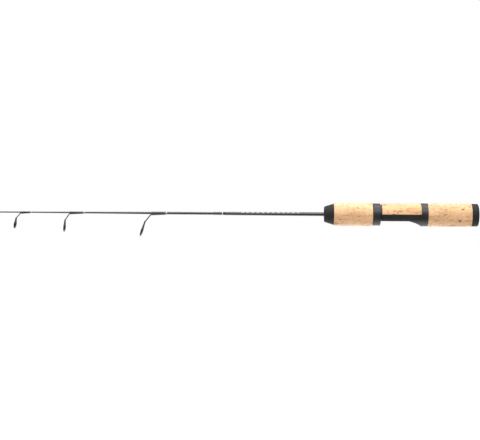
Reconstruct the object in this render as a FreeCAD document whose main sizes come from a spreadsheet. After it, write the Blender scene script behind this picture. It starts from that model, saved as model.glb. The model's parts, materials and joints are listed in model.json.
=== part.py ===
import FreeCAD, Part
import math
import os

import Sketcher

# Ice fishing rod, 24 inches long, for a small spinning reel.
#
# Frame: millimetres, +X along the rod from the tip towards the butt, +Z up, with the line
# guides hanging on the -Z side. The origin is the centre of the flat end of the butt cap, so
# every place along the rod is a negative X and the rod's own axis is the X axis.

DIMENSIONS = {
    # Working allowances: slits left for glue, sinking of joined features, overrun of cuts.
    "glue_gap": 0.05,
    "thread_gap": 0.01,
    "overlap": 0.25,
    "overrun": 1.0,
    # Blank: a solid tapered tip spliced into a hollow tapered butt that runs through the handle.
    "tip_end": -603.0,
    "tip_radius": 0.85,
    "taper_a_place": -540.0,
    "taper_a_radius": 0.86,
    "taper_b_place": -475.0,
    "taper_b_radius": 1.12,
    "taper_c_place": -417.0,
    "taper_c_radius": 1.40,
    "taper_d_place": -372.0,
    "taper_d_radius": 1.62,
    "splice_place": -312.2,
    "splice_radius": 1.68,
    "spigot_end": -273.0,
    "spigot_radius": 1.42,
    "tube_front_radius": 2.05,
    "tube_slope": 0.002984,
    "tube_bore": 1.47,
    "tube_end": -20.0,
    # Thread wraps and the silver trim band at the butt end of each one.
    "thread_height": 0.22,
    "trim_width": 1.3,
    "trim_height": 0.36,
    "splice_wrap_length": 9.8,
    "foot_end_gap": 0.6,
    "foot_tip_height": 0.25,
    "wire_bend": 1.6,
    # Tip top: a tube glued over the tip that carries the last ring.
    "tip_tube_front": -603.75,
    "tip_tube_back": -592.75,
    "tip_tube_bore": 0.92,
    "tip_tube_radius": 1.3,
    "tip_wrap_back": -589.0,
    "tip_wrap_overlap": 3.0,
    "tip_knee_place": -603.91,
    "tip_knee_height": -0.7,
    "tip_lean": 35.0,
    "tip_drop": 5.2,
    "tip_ring": 3.35,
    "tip_hole": 2.35,
    "tip_wire": 0.9,
    "tip_ring_thickness": 1.9,
    "tip_hoop_thickness": 1.3,
    # Line guides, the largest next to the handle. A single wire foot lies under the blank,
    # the leg runs down to the knee, and the hoop hangs from the knee around the ring.
    "guide_1_root": -401.05,
    "guide_1_wrap_front": -399.8,
    "guide_1_wrap_back": -382.1,
    "guide_1_knee_place": -408.0,
    "guide_1_knee_height": -11.2,
    "guide_1_lean": 18.0,
    "guide_1_drop": 10.86,
    "guide_1_ring": 5.75,
    "guide_1_hole": 4.55,
    "guide_1_wire": 1.4,
    "guide_1_ring_thickness": 2.4,
    "guide_1_hoop_thickness": 1.8,
    "guide_1_blank": 1.58,
    "guide_2_root": -500.7,
    "guide_2_wrap_front": -499.9,
    "guide_2_wrap_back": -482.95,
    "guide_2_knee_place": -505.7,
    "guide_2_knee_height": -9.6,
    "guide_2_lean": 4.2,
    "guide_2_drop": 8.19,
    "guide_2_ring": 4.7,
    "guide_2_hole": 3.6,
    "guide_2_wire": 1.25,
    "guide_2_ring_thickness": 2.1,
    "guide_2_hoop_thickness": 1.6,
    "guide_2_blank": 1.10,
    "guide_3_root": -560.7,
    "guide_3_wrap_front": -559.9,
    "guide_3_wrap_back": -547.85,
    "guide_3_knee_place": -565.6,
    "guide_3_knee_height": -7.4,
    "guide_3_lean": 9.3,
    "guide_3_drop": 7.41,
    "guide_3_ring": 4.25,
    "guide_3_hole": 3.2,
    "guide_3_wire": 1.15,
    "guide_3_ring_thickness": 2.3,
    "guide_3_hoop_thickness": 1.7,
    "guide_3_blank": 0.88,
    "hoop_rounding": 0.35,
    # Shares of a guide's wire diameter that shape its foot and its pear-shaped hoop.
    "foot_height_share": 0.8,
    "hoop_rim_share": 0.8,
    "hoop_knee_share": 0.75,
    "hoop_knee_reach_share": 0.25,
    "hoop_crotch_share": 1.6,
    "hoop_crotch_radius_share": 0.3,
    # Shares of the wound radius that shape the thin end of a foot wrap.
    "wrap_tail_share": 0.7,
    "wrap_tail_drop_share": 0.5,
    # Reel seat: threaded barrel, shoulder plate, saddle, fixed hood and the tube in the grip.
    "barrel_front": -174.0,
    "barrel_radius": 8.0,
    "barrel_chamfer": 1.2,
    "seat_bore": 5.0,
    "plate_front": -119.8,
    "plate_back": -118.15,
    "plate_radius": 11.7,
    "saddle_flat": 8.1,
    "inlay_radius": 13.9,
    "inlay_angle": 179.5,
    "fixed_hood_front": -70.5,
    "fixed_hood_back": -62.1,
    "fixed_hood_radius": 14.1,
    "hood_rounding": 0.6,
    "ramp_knee": -82.7,
    "ramp_middle": -74.6,
    "ramp_middle_height": 10.65,
    "ramp_foot": -70.3,
    "ramp_foot_height": 13.2,
    "foot_pocket_inside": 6.9,
    "foot_pocket_radius": 12.55,
    "foot_pocket_end": -66.6,
    "foot_pocket_angle": 120.0,
    "seat_tube_end": -3.7,
    "key_slot_width": 3.0,
    "key_slot_floor": 6.6,
    # Thread between the seat barrel and the lock nut.
    "thread_pitch": 3.0,
    "thread_start": -177.0,
    "thread_length": 52.5,
    "groove_root": 7.1,
    "groove_mouth_half": 0.85,
    "groove_root_half": 0.45,
    "ridge_crest": 7.4,
    "ridge_crest_half": 0.33,
    "ridge_base_half": 0.86,
    "ridge_start": -150.0,
    "ridge_length": 18.0,
    # Sliding front hood, captured on the neck of the lock nut by a spring clip.
    "hood_front": -129.35,
    "hood_back": -119.9,
    "hood_radius": 13.6,
    "hood_wall": 1.4,
    "hood_neck_bore": 9.9,
    "hood_cavity": 12.15,
    "hood_pocket_angle": 110.0,
    "key_width": 2.4,
    "key_tip": 6.9,
    "key_front": -126.15,
    "key_back": -121.6,
    "nut_radius": 9.6,
    "nut_bore": 8.35,
    "nut_end": -126.45,
    "clip_front": -127.65,
    "clip_back": -127.05,
    "clip_groove": 9.1,
    "clip_radius": 10.9,
    "clip_opening": 50.0,
    # Grips and end caps.
    "fore_grip_front": -176.9,
    "fore_grip_back": -129.65,
    "fore_grip_front_radius": 13.85,
    "fore_grip_back_radius": 14.3,
    "rear_grip_back": -8.7,
    "rear_grip_radius": 14.4,
    "cork_rings": 4,
    "fore_cap_front": -188.4,
    "fore_cap_front_radius": 9.4,
    "fore_cap_back_radius": 13.0,
    "fore_cap_bore": 2.8,
    "fore_cap_rounding": 1.6,
    "butt_cap_radius": 13.85,
    "butt_cap_rounding": 1.8,
    "butt_cap_rim": 0.4,
    # Arbors: bushes that centre the blank in the bore of the seat.
    "arbor_length": 12.0,
    "arbor_front_place": -168.0,
    "arbor_middle_place": -101.0,
    "arbor_rear_place": -34.0,
}

SAME_SIZE = 0.01
NEARLY_ALONG_X = 0.99

doc = FreeCAD.newDocument("ice_fishing_rod")
sheet = doc.addObject("Spreadsheet::Sheet", "dim")
for row, (alias, size) in enumerate(DIMENSIONS.items(), start=1):
    sheet.set(f"A{row}", alias)
    sheet.set(f"B{row}", str(size))
    sheet.setAlias(f"B{row}", alias)
doc.recompute()

nodes = []


def cell(alias):
    """Expression text for one spreadsheet value."""
    return f"dim.{alias}"


def number(expression):
    """Present value of an expression over the spreadsheet."""
    return float(sheet.evalExpression(str(expression)))


def bind(thing, path, expression):
    """Tie one property to the spreadsheet."""
    thing.setExpression(path, str(expression))


# Sketch helpers. Places and sizes are expressions, so each sketch follows the spreadsheet.

def hold(sketch, kind, geometry, expression, *point):
    """Add a dimension to a sketch and tie it to the spreadsheet."""
    index = sketch.addConstraint(Sketcher.Constraint(kind, geometry, *point, number(expression)))
    bind(sketch, f"Constraints[{index}]", expression)


def hold_point(sketch, geometry, point, across, up):
    """Fix one point of a sketch by its two coordinates."""
    hold(sketch, "DistanceX", geometry, across, point)
    hold(sketch, "DistanceY", geometry, up, point)


def add_polygon(sketch, corners):
    """Closed outline with straight sides."""
    points = [FreeCAD.Vector(number(across), number(up), 0) for across, up in corners]
    first = sketch.GeometryCount
    for index, point in enumerate(points):
        following = points[(index + 1) % len(points)]
        sketch.addGeometry(Part.LineSegment(point, following), False)
    for index, (across, up) in enumerate(corners):
        following = first + (index + 1) % len(corners)
        sketch.addConstraint(Sketcher.Constraint("Coincident", first + index, 2, following, 1))
        hold_point(sketch, first + index, 1, across, up)


def add_hull(sketch, one, two):
    """Outline around two circles: two arcs joined by the outer tangents.

    Each circle is (across, up, radius).
    """
    centres = [FreeCAD.Vector(number(across), number(up), 0) for across, up, radius in (one, two)]
    radii = [number(radius) for across, up, radius in (one, two)]
    span = centres[1] - centres[0]
    heading = math.atan2(span.y, span.x)
    opening = math.acos((radii[0] - radii[1]) / span.Length)

    def on_circle(which, angle):
        return centres[which] + FreeCAD.Vector(math.cos(angle), math.sin(angle), 0) * radii[which]

    def arc(which, start, end):
        circle = Part.Circle(centres[which], FreeCAD.Vector(0, 0, 1), radii[which])
        return Part.ArcOfCircle(circle, start, end)

    left, right = heading + opening, heading - opening
    first = sketch.GeometryCount
    sketch.addGeometry(arc(0, left, right + 2 * math.pi), False)
    sketch.addGeometry(Part.LineSegment(on_circle(0, right), on_circle(1, right)), False)
    sketch.addGeometry(arc(1, right, left), False)
    sketch.addGeometry(Part.LineSegment(on_circle(1, left), on_circle(0, left)), False)
    for step in range(4):
        following = first + (step + 1) % 4
        sketch.addConstraint(Sketcher.Constraint("Tangent", first + step, 2, following, 1))
    for which, (across, up, radius) in enumerate((one, two)):
        hold_point(sketch, first + 2 * which, 3, across, up)
        hold(sketch, "Radius", first + 2 * which, radius)


def add_disc_slice(sketch, radius, top, bottom):
    """Part of a disc about the origin that lies between two level lines below its centre."""
    size, levels = number(radius), (number(top), number(bottom))
    circle = Part.Circle(FreeCAD.Vector(0, 0, 0), FreeCAD.Vector(0, 0, 1), size)
    upper, lower = (math.asin(level / size) for level in levels)
    right = sketch.addGeometry(Part.ArcOfCircle(circle, lower, upper), False)
    left = sketch.addGeometry(Part.ArcOfCircle(circle, math.pi - upper, math.pi - lower), False)
    corners = [FreeCAD.Vector(size * math.cos(angle), size * math.sin(angle), 0)
               for angle in (upper, math.pi - upper, math.pi - lower, lower)]
    lid = sketch.addGeometry(Part.LineSegment(corners[0], corners[1]), False)
    base = sketch.addGeometry(Part.LineSegment(corners[2], corners[3]), False)
    round_trip = (right, lid, left, base)
    for one, following in zip(round_trip, round_trip[1:] + round_trip[:1]):
        sketch.addConstraint(Sketcher.Constraint("Coincident", one, 2, following, 1))
    for arc, first, second in ((right, bottom, top), (left, top, bottom)):
        hold_point(sketch, arc, 3, "0", "0")
        hold(sketch, "Radius", arc, radius)
        hold(sketch, "DistanceY", arc, first, 1)
        hold(sketch, "DistanceY", arc, second, 2)


def add_bent_path(sketch, corners, bend):
    """Open path of straight runs whose inner corners are rounded by tangent arcs."""
    points = [FreeCAD.Vector(number(across), number(up), 0) for across, up in corners]
    radius = number(bend)
    first = sketch.GeometryCount
    for point, (across, up) in zip(points, corners):
        index = sketch.addGeometry(Part.Point(point), True)
        hold_point(sketch, index, 1, across, up)
    starts, ends, arcs = [points[0]], [], []
    for before, corner, after in zip(points, points[1:], points[2:]):
        inward = (before - corner).normalize()
        outward = (after - corner).normalize()
        half = inward.getAngle(outward) / 2
        centre = corner + (inward + outward).normalize() * (radius / math.sin(half))
        ends.append(corner + inward * (radius / math.tan(half)))
        starts.append(corner + outward * (radius / math.tan(half)))
        arcs.append(centre)
    ends.append(points[-1])
    runs = [sketch.addGeometry(Part.LineSegment(a, b), False) for a, b in zip(starts, ends)]
    sketch.addConstraint(Sketcher.Constraint("Coincident", runs[0], 1, first, 1))
    last_point = first + len(points) - 1
    sketch.addConstraint(Sketcher.Constraint("Coincident", runs[-1], 2, last_point, 1))
    for index, centre in enumerate(arcs):
        enter, leave = ends[index] - centre, starts[index + 1] - centre
        counter_clockwise = enter.cross(leave).z > 0
        begin, finish = (enter, leave) if counter_clockwise else (leave, enter)
        angles = [math.atan2(spoke.y, spoke.x) for spoke in (begin, finish)]
        circle = Part.Circle(centre, FreeCAD.Vector(0, 0, 1), radius)
        arc = sketch.addGeometry(Part.ArcOfCircle(circle, *angles), False)
        arc_in, arc_out = (1, 2) if counter_clockwise else (2, 1)
        sketch.addConstraint(Sketcher.Constraint("Tangent", runs[index], 2, arc, arc_in))
        sketch.addConstraint(Sketcher.Constraint("Tangent", arc, arc_out, runs[index + 1], 1))
        hold(sketch, "Radius", arc, bend)
        corner_point = first + index + 1
        sketch.addConstraint(Sketcher.Constraint("PointOnObject", corner_point, 1, runs[index]))
        sketch.addConstraint(Sketcher.Constraint("PointOnObject", corner_point, 1, runs[index + 1]))


# Feature helpers.

def new_body(label):
    body = doc.addObject("PartDesign::Body", label)
    body.Label = label
    return body


def new_sketch(body, name, role="XZ_Plane"):
    """Sketch on one of the body's own origin planes."""
    sketch = body.newObject("Sketcher::SketchObject", name)
    plane = next(item for item in body.Origin.OriginFeatures if item.Role == role)
    sketch.AttachmentSupport = (plane, [""])
    sketch.MapMode = "FlatFace"
    return sketch


def turn(body, name, corners, angle=None, cut=False):
    """Turn an outline about the X axis; a part turn is centred on the XZ plane."""
    sketch = new_sketch(body, name + "_outline")
    add_polygon(sketch, corners)
    kind = "PartDesign::Groove" if cut else "PartDesign::Revolution"
    feature = body.newObject(kind, name)
    feature.Profile = sketch
    feature.ReferenceAxis = (sketch, ["H_Axis"])
    if angle is None:
        feature.Angle = 360
    else:
        feature.Midplane = True
        bind(feature, "Angle", angle)
    return feature


def slot(body, name, corners, width):
    """Cut an outline of the XZ plane out of a body, centred on that plane."""
    sketch = new_sketch(body, name + "_outline")
    add_polygon(sketch, corners)
    feature = body.newObject("PartDesign::Pocket", name)
    feature.Profile = sketch
    feature.Midplane = True
    bind(feature, "Length", width)
    return feature


def round_rims(body, name, rims, size):
    """Round the circular edges of a body at the given (place along X, radius) pairs."""
    doc.recompute()
    base = body.Tip
    wanted = [(number(place), number(radius)) for place, radius in rims]
    edges = []
    for index, edge in enumerate(base.Shape.Edges, start=1):
        if not isinstance(edge.Curve, Part.Circle):
            continue
        place, radius = edge.Curve.Center.x, edge.Curve.Radius
        if any(abs(place - x) < SAME_SIZE and abs(radius - r) < SAME_SIZE for x, r in wanted):
            edges.append(f"Edge{index}")
    fillet = body.newObject("PartDesign::Fillet", name)
    fillet.Base = (base, edges)
    bind(fillet, "Radius", size)
    return fillet


def turned_node(label, corners, angle=None):
    """A sub-part made by turning one outline about the rod's axis."""
    body = new_body(label)
    turn(body, label + "_turning", corners, angle)
    nodes.append(body)
    return body


def ring_corners(front, back, inner, outer):
    """Outline of a plain ring or sleeve."""
    return [(front, inner), (front, outer), (back, outer), (back, inner)]


# The blank.

def tube_radius(place):
    """Outer radius of the hollow butt section at a place along the rod."""
    return f"({cell('tube_front_radius')} + {cell('tube_slope')} * ({place} - {cell('splice_place')}))"


def make_blank():
    tapers = [(cell(f"taper_{step}_place"), cell(f"taper_{step}_radius")) for step in "abcd"]
    tip = turned_node("blank_tip_section", [
        (cell("tip_end"), "0"),
        (cell("tip_end"), cell("tip_radius")),
        *tapers,
        (cell("splice_place"), cell("splice_radius")),
        (cell("splice_place"), cell("spigot_radius")),
        (cell("spigot_end"), cell("spigot_radius")),
        (cell("spigot_end"), "0"),
    ])
    turned_node("blank_butt_section", [
        (cell("splice_place"), cell("tube_bore")),
        (cell("splice_place"), cell("tube_front_radius")),
        (cell("tube_end"), tube_radius(cell("tube_end"))),
        (cell("tube_end"), cell("tube_bore")),
    ])
    return tip


# Wraps, trim bands and guides.

def trim_band(label, front, blank_radius):
    """Raised silver band of thread around the blank."""
    inner = f"{blank_radius} + {cell('thread_gap')}"
    outer = f"{blank_radius} + {cell('trim_height')}"
    turned_node(label, ring_corners(front, f"{front} + {cell('trim_width')}", inner, outer))


def joined(kind, label, parts):
    """Boolean of several objects: a fuse of all, or the first less the others."""
    result = doc.addObject(kind, label)
    result.Label = label
    if kind == "Part::MultiFuse":
        result.Shapes = parts
        result.Refine = True
    else:
        result.Base, result.Tool = parts
        result.Refine = False
    return result


def end_section(body, name, place, circles):
    """Cross-section of a wrap: the blank's circle joined by tangents to the foot's circle."""
    section = new_sketch(body, name, "YZ_Plane")
    bind(section, "AttachmentOffset.Base.z", place)
    add_hull(section, *circles)
    return section


def foot_wrap(label, guide, frame, blank):
    """Thread wrap over the blank and a guide's foot, tapering from the leg to the trim."""
    around = f"({cell(guide + 'blank')} + {cell('thread_height')})"
    foot_height = f"{cell(guide + 'wire')} * ({cell('foot_height_share')} - 0.5)"
    foot_centre = f"-({cell(guide + 'blank')} + {foot_height})"
    foot_around = f"({cell(guide + 'wire')} / 2 + {cell('thread_height')})"
    tail = f"({around} * {cell('wrap_tail_share')})"
    tail_centre = f"-{around} * {cell('wrap_tail_drop_share')}"
    solid = new_body(label + "_solid")
    leg_end = end_section(solid, label + "_leg_end", cell(guide + "wrap_front"),
                          (("0", "0", around), ("0", foot_centre, foot_around)))
    trim_end = end_section(solid, label + "_trim_end", cell(guide + "wrap_back"),
                           (("0", "0", around), ("0", tail_centre, tail)))
    loft = solid.newObject("PartDesign::AdditiveLoft", label + "_loft")
    loft.Profile = leg_end
    loft.Sections = [trim_end]
    loft.Ruled = True
    core = joined("Part::MultiFuse", label + "_core", [blank, frame])
    nodes.append(joined("Part::Cut", label, [solid, core]))


def ring_place(guide):
    """Expressions for the centre of a ring, hanging from its guide's knee."""
    drop, lean = cell(guide + "drop"), cell(guide + "lean")
    across = f"{cell(guide + 'knee_place')} - {drop} * sin({lean})"
    up = f"{cell(guide + 'knee_height')} - {drop} * cos({lean})"
    return across, up


def lean_to_ring(body, guide):
    """Move a body made about the origin to its guide's ring and lean it."""
    across, up = ring_place(guide)
    turned = FreeCAD.Rotation(FreeCAD.Vector(0, 1, 0), number(cell(guide + "lean")))
    body.Placement = FreeCAD.Placement(FreeCAD.Vector(number(across), 0, number(up)), turned)
    bind(body, "Placement.Base.x", across)
    bind(body, "Placement.Base.z", up)
    bind(body, "Placement.Rotation.Angle", f"{cell(guide + 'lean')} * 1 deg")


def ring_insert(label, guide):
    """Hard ring with a rounded section that the line runs through."""
    body = new_body(label)
    section = new_sketch(body, label + "_section")
    rounding = f"(({cell(guide + 'ring')} - {cell(guide + 'hole')}) / 2)"
    middle = f"(({cell(guide + 'ring')} + {cell(guide + 'hole')}) / 2)"
    reach = f"({cell(guide + 'ring_thickness')} / 2 - {rounding})"
    add_hull(section, (f"-{reach}", middle, rounding), (reach, middle, rounding))
    feature = body.newObject("PartDesign::Revolution", label + "_turning")
    feature.Profile = section
    feature.ReferenceAxis = (section, ["H_Axis"])
    feature.Angle = 360
    lean_to_ring(body, guide)
    nodes.append(body)


def hoop(label, guide):
    """Flat pear-shaped hoop: round about the ring, narrowing to the knee."""
    body = new_body(label)
    outline = new_sketch(body, label + "_outline", "YZ_Plane")
    wire, drop = cell(guide + "wire"), cell(guide + "drop")
    seat = f"({cell(guide + 'ring')} + {cell('glue_gap')})"
    rim = f"({seat} + {wire} * {cell('hoop_rim_share')})"
    knee = f"({drop} + {wire} * {cell('hoop_knee_reach_share')})"
    crotch = f"({drop} - {wire} * {cell('hoop_crotch_share')})"
    add_hull(outline, ("0", "0", rim), ("0", knee, f"({wire} * {cell('hoop_knee_share')})"))
    add_hull(outline, ("0", "0", seat),
             ("0", crotch, f"({wire} * {cell('hoop_crotch_radius_share')})"))
    pad = body.newObject("PartDesign::Pad", label + "_pad")
    pad.Profile = outline
    pad.Midplane = True
    bind(pad, "Length", cell(guide + "hoop_thickness"))
    doc.recompute()
    rounding = body.newObject("PartDesign::Fillet", label + "_rounding")
    rim_faces = [face for face in pad.Shape.Faces if abs(face.normalAt(0, 0).x) > NEARLY_ALONG_X]
    rounded = []
    for index, edge in enumerate(pad.Shape.Edges, start=1):
        if any(edge.isSame(outer) for face in rim_faces for outer in face.OuterWire.Edges):
            rounded.append(f"Edge{index}")
    rounding.Base = (pad, rounded)
    bind(rounding, "Radius", cell("hoop_rounding"))
    lean_to_ring(body, guide)
    return body


def guide_wire(label, guide):
    """Foot and leg of a guide: one bent wire, its foot ground thin towards the trim."""
    body = new_body(label)
    wire = cell(guide + "wire")
    foot_height = f"-({cell(guide + 'blank')} + {wire} / 2)"
    foot_end = f"({cell(guide + 'wrap_back')} - {cell('foot_end_gap')})"
    knee = (cell(guide + "knee_place"), cell(guide + "knee_height"))
    stub_length = f"{wire} * {cell('hoop_crotch_share')}"
    stub = (f"{knee[0]} - {stub_length} * sin({cell(guide + 'lean')})",
            f"{knee[1]} - {stub_length} * cos({cell(guide + 'lean')})")
    path = new_sketch(body, label + "_path")
    add_bent_path(path, [(foot_end, foot_height), (cell(guide + "root"), foot_height), knee, stub],
                  cell("wire_bend"))
    section = new_sketch(body, label + "_section", "YZ_Plane")
    bind(section, "AttachmentOffset.Base.z", foot_end)
    circle = Part.Circle(FreeCAD.Vector(0, number(foot_height), 0), FreeCAD.Vector(0, 0, 1),
                         number(wire) / 2)
    section.addGeometry(circle, False)
    hold_point(section, 0, 3, "0", foot_height)
    hold(section, "Radius", 0, f"{wire} / 2")
    pipe = body.newObject("PartDesign::AdditivePipe", label + "_pipe")
    pipe.Profile = section
    pipe.Spine = path
    underside = f"-({cell(guide + 'blank')} + {wire} + {cell('overrun')})"
    leg_side = f"-({cell(guide + 'blank')} + {wire} * {cell('foot_height_share')})"
    thin_side = f"-({cell(guide + 'blank')} + {cell('foot_tip_height')})"
    beyond = f"{foot_end} + {cell('overrun')}"
    slot(body, label + "_grinding", [
        (beyond, underside),
        (cell(guide + "wrap_front"), underside),
        (cell(guide + "wrap_front"), leg_side),
        (foot_end, thin_side),
        (beyond, thin_side),
    ], f"{wire} + {cell('overrun')}")
    return body


def make_guide(step, blank):
    name, guide = f"guide_{step}", f"guide_{step}_"
    parts = [guide_wire(name + "_wire", guide), hoop(name + "_hoop", guide)]
    frame = joined("Part::MultiFuse", name + "_frame", parts)
    nodes.append(frame)
    ring_insert(name + "_ring", guide)
    foot_wrap(name + "_wrap", guide, frame, blank)
    trim_band(name + "_trim_band", cell(guide + "wrap_back"), cell(guide + "blank"))


def make_tip_top():
    turned_node("tip_top_tube", ring_corners(
        cell("tip_tube_front"), cell("tip_tube_back"), cell("tip_tube_bore"), cell("tip_tube_radius")))
    nodes.append(joined("Part::Cut", "tip_top_frame", [hoop("tip_top_hoop", "tip_"), tube_core()]))
    ring_insert("tip_top_ring", "tip_")
    step = f"({cell('tip_tube_radius')} + {cell('thread_height')})"
    blank = f"({cell('taper_a_radius')} + {cell('thread_gap')})"
    wrap_front = f"{cell('tip_tube_back')} - {cell('tip_wrap_overlap')}"
    turned_node("tip_top_wrap", [
        (wrap_front, cell("tip_tube_radius")),
        (wrap_front, step),
        (cell("tip_tube_back"), step),
        (cell("tip_wrap_back"), f"{blank} + {cell('thread_height')}"),
        (cell("tip_wrap_back"), blank),
        (cell("tip_tube_back"), blank),
        (cell("tip_tube_back"), cell("tip_tube_radius")),
    ])
    trim_band("tip_top_trim_band", cell("tip_wrap_back"), cell("taper_a_radius"))


def tube_core():
    """Full cylinder of the tip tube, which the hoop is notched around."""
    core = doc.addObject("Part::Cylinder", "tip_tube_core")
    core.Placement = FreeCAD.Placement(FreeCAD.Vector(number(cell("tip_tube_front")), 0, 0),
                                       FreeCAD.Rotation(FreeCAD.Vector(0, 1, 0), 90))
    bind(core, "Placement.Base.x", cell("tip_tube_front"))
    bind(core, "Radius", cell("tip_tube_radius"))
    bind(core, "Height", f"{cell('tip_tube_back')} - {cell('tip_tube_front')}")
    return core


def make_splice_wrap():
    front = f"({cell('splice_place')} - {cell('trim_width')} - {cell('splice_wrap_length')})"
    back = f"({cell('splice_place')} - {cell('trim_width')})"
    inner = f"({cell('splice_radius')} + {cell('thread_gap')})"
    outer = f"({cell('splice_radius')} + {cell('thread_height')})"
    turned_node("splice_wrap", ring_corners(front, back, inner, outer))
    trim_band("splice_trim_band", back, cell("splice_radius"))


# The reel seat.

def thread(body, name, kind, start, length, corners):
    """Helical groove or ridge of right-hand thread about the rod's axis."""
    section = new_sketch(body, name + "_section")
    add_polygon(section, [(f"{start} + {across}", radius) for across, radius in corners])
    helix = body.newObject(kind, name)
    helix.Profile = section
    helix.ReferenceAxis = (section, ["H_Axis"])
    helix.Mode = "pitch-height-angle"
    bind(helix, "Pitch", cell("thread_pitch"))
    bind(helix, "Height", length)


def make_seat():
    """One moulding: threaded barrel, saddle, fixed hood and the tube that holds the rear grip."""
    body = new_body("seat_body")
    hood, saddle, overrun = cell("fixed_hood_radius"), cell("inlay_radius"), cell("overrun")
    inside = f"-{cell('foot_pocket_inside')}"
    flat, knee = f"-{cell('saddle_flat')}", cell("ramp_knee")
    nose_front = f"({knee} - {overrun})"
    nose_back = f"({cell('fixed_hood_front')} + {overrun})"
    below = f"-({hood} + {overrun})"
    whole_width = f"2 * ({hood} + {overrun})"
    turn(body, "nose", [
        (knee, inside),
        (knee, f"-{saddle}"),
        (nose_back, f"-{saddle}"),
        (nose_back, inside),
    ], "180")
    slot(body, "nose_ramp", [
        (nose_front, flat),
        (knee, flat),
        (cell("ramp_middle"), f"-{cell('ramp_middle_height')}"),
        (cell("ramp_foot"), f"-{cell('ramp_foot_height')}"),
        (cell("ramp_foot"), below),
        (nose_front, below),
    ], whole_width)
    barrel = cell("barrel_radius")
    turn(body, "seat_turning", [
        (cell("barrel_front"), cell("seat_bore")),
        (cell("barrel_front"), f"{barrel} - {cell('barrel_chamfer')}"),
        (f"{cell('barrel_front')} + {cell('barrel_chamfer')}", barrel),
        (cell("plate_front"), barrel),
        (cell("plate_front"), cell("plate_radius")),
        (cell("plate_back"), cell("plate_radius")),
        (cell("plate_back"), barrel),
        (cell("fixed_hood_front"), barrel),
        (cell("fixed_hood_front"), hood),
        (cell("fixed_hood_back"), hood),
        (cell("fixed_hood_back"), barrel),
        (cell("seat_tube_end"), barrel),
        (cell("seat_tube_end"), cell("seat_bore")),
    ])
    pocket_end = cell("foot_pocket_end")
    turn(body, "foot_pocket", [
        (nose_front, inside),
        (nose_front, f"-{cell('foot_pocket_radius')}"),
        (pocket_end, f"-{cell('foot_pocket_radius')}"),
        (pocket_end, inside),
    ], cell("foot_pocket_angle"), cut=True)
    section = new_sketch(body, "saddle_section", "YZ_Plane")
    bind(section, "AttachmentOffset.Base.z", f"({cell('plate_back')} + {pocket_end}) / 2")
    add_disc_slice(section, saddle, "0", flat)
    pad = body.newObject("PartDesign::Pad", "saddle")
    pad.Profile = section
    pad.Midplane = True
    bind(pad, "Length", f"{pocket_end} - {cell('plate_back')}")
    turn(body, "blank_bore", [
        (cell("plate_back"), "0"),
        (cell("plate_back"), cell("seat_bore")),
        (pocket_end, cell("seat_bore")),
        (pocket_end, "0"),
    ], cut=True)
    slot(body, "plate_flat", [
        (cell("plate_front"), f"-{cell('saddle_flat')}"),
        (cell("plate_front"), below),
        (cell("plate_back"), below),
        (cell("plate_back"), f"-{cell('saddle_flat')}"),
    ], whole_width)
    slot(body, "key_slot", [
        (f"{cell('barrel_front')} - {overrun}", cell("key_slot_floor")),
        (f"{cell('barrel_front')} - {overrun}", f"{barrel} + {overrun}"),
        (cell("plate_front"), f"{barrel} + {overrun}"),
        (cell("plate_front"), cell("key_slot_floor")),
    ], cell("key_slot_width"))
    above = f"{barrel} + {cell('overlap')}"
    thread(body, "barrel_thread", "PartDesign::SubtractiveHelix", cell("thread_start"),
           cell("thread_length"), [
               (f"-{cell('groove_mouth_half')}", above),
               (f"-{cell('groove_root_half')}", cell("groove_root")),
               (cell("groove_root_half"), cell("groove_root")),
               (cell("groove_mouth_half"), above),
           ])
    nodes.append(body)
    inside = f"{barrel} + {cell('glue_gap')}"
    corners = ring_corners(cell("plate_back"), cell("fixed_hood_front"), inside, saddle)
    turned_node("seat_inlay", corners, cell("inlay_angle"))


def make_arbors():
    for name in ("front", "middle", "rear"):
        start = cell(f"arbor_{name}_place")
        end = f"({start} + {cell('arbor_length')})"
        outer = f"{cell('seat_bore')} - {cell('glue_gap')}"
        turned_node(f"arbor_{name}", [
            (start, f"{tube_radius(start)} + {cell('glue_gap')}"),
            (start, outer),
            (end, outer),
            (end, f"{tube_radius(end)} + {cell('glue_gap')}"),
        ])


# The twist lock: nut, clip and sliding hood.

def make_front_hood():
    """Cup that slides on the barrel without turning and clamps the reel's foot."""
    body = new_body("front_hood")
    front, back = cell("hood_front"), cell("hood_back")
    wall = f"({front} + {cell('hood_wall')})"
    turn(body, "hood_cup", [
        (front, cell("hood_neck_bore")),
        (front, cell("hood_radius")),
        (back, cell("hood_radius")),
        (back, cell("hood_cavity")),
        (wall, cell("hood_cavity")),
        (wall, cell("hood_neck_bore")),
    ])
    round_rims(body, "hood_rounding", [(front, cell("hood_radius")), (back, cell("hood_radius"))],
               cell("hood_rounding"))
    turn(body, "hood_foot_pocket", [
        (wall, f"-{cell('hood_cavity')} + {cell('overlap')}"),
        (wall, f"-{cell('foot_pocket_radius')}"),
        (f"{back} + {cell('overrun')}", f"-{cell('foot_pocket_radius')}"),
        (f"{back} + {cell('overrun')}", f"-{cell('hood_cavity')} + {cell('overlap')}"),
    ], cell("hood_pocket_angle"), cut=True)
    key = new_sketch(body, "key_outline")
    add_polygon(key, [
        (cell("key_front"), cell("key_tip")),
        (cell("key_front"), f"{cell('hood_cavity')} + {cell('overlap')}"),
        (cell("key_back"), f"{cell('hood_cavity')} + {cell('overlap')}"),
        (cell("key_back"), cell("key_tip")),
    ])
    pad = body.newObject("PartDesign::Pad", "key")
    pad.Profile = key
    pad.Midplane = True
    bind(pad, "Length", cell("key_width"))
    nodes.append(body)


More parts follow.
